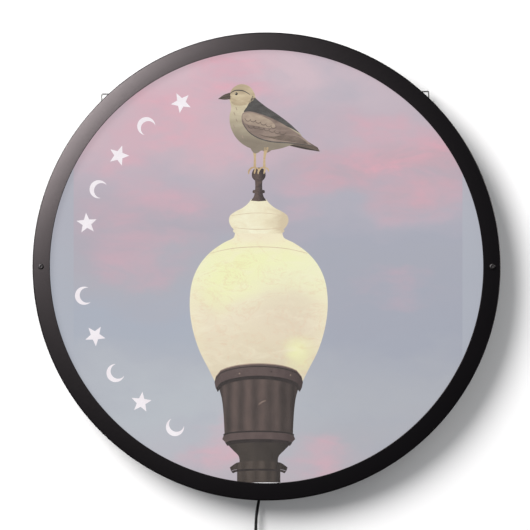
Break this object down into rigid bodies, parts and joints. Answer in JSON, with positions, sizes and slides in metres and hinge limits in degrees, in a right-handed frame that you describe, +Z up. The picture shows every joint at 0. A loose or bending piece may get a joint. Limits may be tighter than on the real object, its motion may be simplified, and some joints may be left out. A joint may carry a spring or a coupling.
{
  "type": "lighted advertising sign",
  "caption": "Round back-lit wall sign: sloping black metal bezel, lit printed face, wire hanging rings, keyhole hanger, and a thin lead with a rocker switch and a wall adapter.",
  "frame": {"origin": "centre of the circle on the wall plane, at the back face of the pan", "axes": "+X to the viewer's right, +Y into the wall, +Z up; the face looks along -Y"},
  "size_m": [0.381, 0.034, 0.5845],
  "materials": {
    "satin_black": "satin black powder coat, fine grain",
    "pan_black": "matt black powder coat",
    "foam_black": "closed-cell foam",
    "clear_acrylic": "clear, polished",
    "printed_film": "printed translucent film, lit from behind",
    "opal_acrylic": "opal white, satin",
    "white_plastic": "white, moulded",
    "reflector_white": "white PET sheet",
    "zinc_steel": "zinc plated",
    "screw_grey": "black zinc, worn at the edges",
    "wire_steel": "bent steel wire",
    "led_board_white": "white solder mask on an aluminium core",
    "led_phosphor": "phosphor over a white frame",
    "lamp_lens_clear": "clear moulded dome",
    "wire_red": "insulated wire",
    "terminal_green": "moulded terminal block",
    "cord_black": "matt black PVC",
    "case_black": "black ABS, fine spark texture",
    "rocker_black": "polished black",
    "contact_brass": "stamped brass",
    "blade_nickel": "nickel plated brass",
    "board_green": "circuit board",
    "core_grey": "ferrite core",
    "can_sleeve": "sleeved can",
    "tie_black": "hook-and-loop strap"
  },
  "bodies": {
    "sign": {"adapter_blades": "blade_nickel", "adapter_board": "board_green", "adapter_capacitors": "can_sleeve", "adapter_front_case": "case_black", "adapter_rear_case": "case_black", "adapter_strain_relief": "cord_black", "adapter_transformer": "core_grey", "bezel_posts": "zinc_steel", "bezel_ring": "satin_black", "bezel_screws": "screw_grey", "coil_tie": "tie_black", "cord_coil": "cord_black", "cord_grommet": "cord_black", "cord_stop": "case_black", "diffuser_panel": "opal_acrylic", "face_gasket": "foam_black", "face_lens": "clear_acrylic", "graphic_film": "printed_film", "hanger_rivets": "zinc_steel", "hanger_strap_left": "zinc_steel", "hanger_strap_right": "zinc_steel", "input_lead": "cord_black", "input_terminal": "terminal_green", "keyhole_cup": "case_black", "keyhole_plate": "zinc_steel", "keyhole_rivets": "zinc_steel", "led_bar_screws": "zinc_steel", "led_bars": "led_board_white", "led_jumper_wires": "wire_red", "led_lenses": "lamp_lens_clear", "led_packages": "led_phosphor", "panel_support_ring": "white_plastic", "rear_pan": "pan_black", "reflector_sheet": "reflector_white", "supply_cord": "cord_black", "switch_back_shell": "case_black", "switch_contacts": "contact_brass", "switch_cord": "cord_black", "switch_front_shell": "case_black", "switch_screws": "zinc_steel", "tail_cord": "cord_black", "terminal_screws": "zinc_steel"},
    "ring_left": {"hanger_ring_left": "wire_steel"},
    "ring_right": {"hanger_ring_right": "wire_steel"},
    "rocker": {"switch_rocker": "rocker_black"}
  },
  "joints": [
    {"name": "hanger_left", "type": "hinge", "parent": "sign", "child": "ring_left", "pos_m": [-0.12747, -0.0102, 0.13339], "axis": [-0.723, 0, -0.6909], "range_deg": [-8, 180]},
    {"name": "hanger_right", "type": "hinge", "parent": "sign", "child": "ring_right", "pos_m": [0.12536, -0.0102, 0.13537], "axis": [-0.7337, 0, 0.6794], "range_deg": [-8, 180]},
    {"name": "switch", "type": "hinge", "parent": "sign", "child": "rocker", "pos_m": [-0.0088, -0.0098, -0.249], "axis": [1, 0, 0], "range_deg": [-16, 0]}
  ]
}
